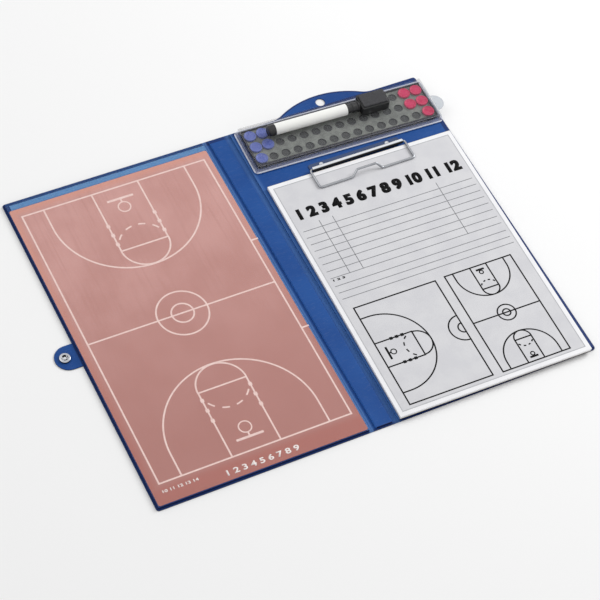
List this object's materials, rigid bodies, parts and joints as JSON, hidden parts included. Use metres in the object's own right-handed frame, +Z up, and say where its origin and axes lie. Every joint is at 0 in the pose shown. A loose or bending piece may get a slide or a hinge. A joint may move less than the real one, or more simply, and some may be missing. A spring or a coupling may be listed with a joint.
{
  "type": "folding tactics board",
  "caption": "Folding vinyl coach's board: a magnetic court under a clear window faces a clip leaf with a wire bail, note pad, case of magnetic counters and an eraser-capped marker.",
  "frame": {"origin": "middle of the spine's underside, on the surface that the open folder lies on", "axes": "+X from the spine to the clip leaf, +Y up the page to the hanging tab's edge, +Z up off the surface"},
  "size_m": [0.4973, 0.3962, 0.0248],
  "materials": {
    "blue_vinyl": "satin embossed vinyl sheet",
    "grey_board": "grey board",
    "steel_sheet": "thin zinc coated sheet",
    "court_print": "printed card",
    "clear_window": "clear dry-wipe film",
    "bright_metal": "bright nickel plate",
    "paper": "matt paper",
    "pad_card": "backing card",
    "binding_gum": "padding gum",
    "foam_tape": "double-sided foam tape",
    "clear_case": "clear moulded plastic",
    "rack_grey": "grey moulded rack",
    "counter_blue": "blue moulded plastic",
    "counter_red": "red moulded plastic",
    "magnet_dark": "sintered magnet",
    "marker_white": "white moulded plastic",
    "marker_black": "black moulded plastic",
    "ink_fibre": "inked fibre",
    "eraser_felt": "pressed felt"
  },
  "bodies": {
    "clip_leaf": {"clip_outer_skin": "blue_vinyl", "clip_board": "grey_board", "clip_inner_skin": "blue_vinyl", "snap_stud": "bright_metal", "clip_plate": "bright_metal", "clip_rivets": "bright_metal", "case_tape": "foam_tape", "case_tray": "clear_case", "counter_rack": "rack_grey", "blue_counters": "counter_blue", "red_counters": "counter_red", "counter_magnets": "magnet_dark"},
    "spine": {"spine_outer_skin": "blue_vinyl", "spine_board": "grey_board", "spine_inner_skin": "blue_vinyl"},
    "court_leaf": {"court_outer_skin": "blue_vinyl", "court_board": "grey_board", "court_steel_sheet": "steel_sheet", "court_inner_skin": "blue_vinyl", "court_card": "court_print", "court_window": "clear_window"},
    "strap": {"closing_strap": "blue_vinyl", "snap_cap": "bright_metal", "snap_socket": "bright_metal"},
    "clip_bail": {"bail_wire": "bright_metal"},
    "note_pad": {"pad_backing": "pad_card", "pad_stack": "paper", "pad_sheets": "paper", "pad_binding": "binding_gum"},
    "lid": {"case_lid": "clear_case"},
    "marker": {"marker_barrel": "marker_white", "marker_tail_plug": "marker_black", "marker_ink_core": "ink_fibre", "marker_nib_holder": "marker_black", "marker_nib": "ink_fibre"},
    "marker_cap": {"eraser_cap": "marker_black", "eraser_felt": "eraser_felt"}
  },
  "joints": [
    {"name": "spine_fold", "type": "hinge", "parent": "clip_leaf", "child": "spine", "pos_m": [0.01375, 0, 0.001], "axis": [0, 1, 0], "range_deg": [0, 90]},
    {"name": "court_fold", "type": "hinge", "parent": "spine", "child": "court_leaf", "pos_m": [-0.01375, 0, 0.001], "axis": [0, 1, 0], "range_deg": [0, 90]},
    {"name": "strap_flex", "type": "hinge", "parent": "court_leaf", "child": "strap", "pos_m": [-0.23375, -0.004, 0.001], "axis": [0, 1, 0], "range_deg": [0, 90]},
    {"name": "bail_lift", "type": "hinge", "parent": "clip_leaf", "child": "clip_bail", "pos_m": [0.12375, 0.111, 0.0083], "axis": [1, 0, 0], "range_deg": [-100, 0], "stiffness_Nm_per_rad": 0.03, "springref_deg": 34.38},
    {"name": "pad_pull", "type": "slide", "parent": "clip_leaf", "child": "note_pad", "axis": [-0.0113, -0.9999, 0], "range_m": [0, 0.31]},
    {"name": "lid_slide", "type": "slide", "parent": "clip_leaf", "child": "lid", "axis": [0.9994, -0.0349, 0], "range_m": [0, 0.21]},
    {"name": "marker_lift", "type": "slide", "parent": "clip_leaf", "child": "marker", "axis": [0, 0, -1], "range_m": [-0.06, 0]},
    {"name": "cap_pull", "type": "slide", "parent": "marker", "child": "marker_cap", "axis": [0.9994, -0.0349, 0], "range_m": [0, 0.03]}
  ]
}
